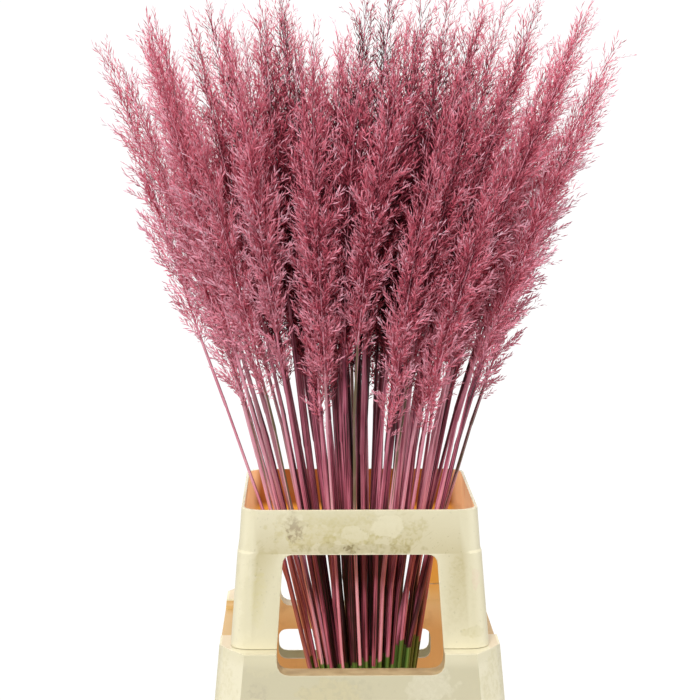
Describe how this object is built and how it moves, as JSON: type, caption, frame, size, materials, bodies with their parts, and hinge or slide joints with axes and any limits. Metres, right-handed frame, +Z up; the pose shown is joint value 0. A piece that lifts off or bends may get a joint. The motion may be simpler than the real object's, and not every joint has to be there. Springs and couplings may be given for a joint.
{
  "type": "potted feather reed grass in a plastic bucket with a windowed collar",
  "caption": "Upright fan of dyed feather reed grass plumes on cut stems, standing in a tapered plastic bucket that carries a separate windowed collar.",
  "frame": {"origin": "middle of the bucket's base, on the surface that it stands on", "axes": "+Z up along the stems, +X across the narrow side of the bucket, -Y towards a windowed side of the collar"},
  "size_m": [0.5035, 0.4409, 0.8399],
  "materials": {
    "holder_plastic": "satin",
    "dyed_grass": "matte"
  },
  "bodies": {
    "root": {"bucket": "holder_plastic", "collar": "holder_plastic", "grass_01": "dyed_grass", "grass_02": "dyed_grass", "grass_03": "dyed_grass", "grass_04": "dyed_grass", "grass_05": "dyed_grass", "grass_06": "dyed_grass", "grass_07": "dyed_grass", "grass_08": "dyed_grass", "grass_09": "dyed_grass", "grass_10": "dyed_grass", "grass_11": "dyed_grass", "grass_12": "dyed_grass", "grass_13": "dyed_grass", "grass_14": "dyed_grass", "grass_15": "dyed_grass", "grass_16": "dyed_grass", "grass_17": "dyed_grass", "grass_18": "dyed_grass", "grass_19": "dyed_grass", "grass_20": "dyed_grass", "grass_21": "dyed_grass", "grass_22": "dyed_grass", "grass_23": "dyed_grass", "grass_24": "dyed_grass", "grass_25": "dyed_grass", "grass_26": "dyed_grass", "grass_27": "dyed_grass", "grass_28": "dyed_grass", "grass_29": "dyed_grass", "grass_30": "dyed_grass", "grass_31": "dyed_grass", "grass_32": "dyed_grass", "grass_33": "dyed_grass", "grass_34": "dyed_grass", "grass_35": "dyed_grass", "grass_36": "dyed_grass", "grass_37": "dyed_grass", "grass_38": "dyed_grass", "grass_39": "dyed_grass", "grass_40": "dyed_grass", "grass_41": "dyed_grass", "grass_42": "dyed_grass"}
  },
  "joints": []
}
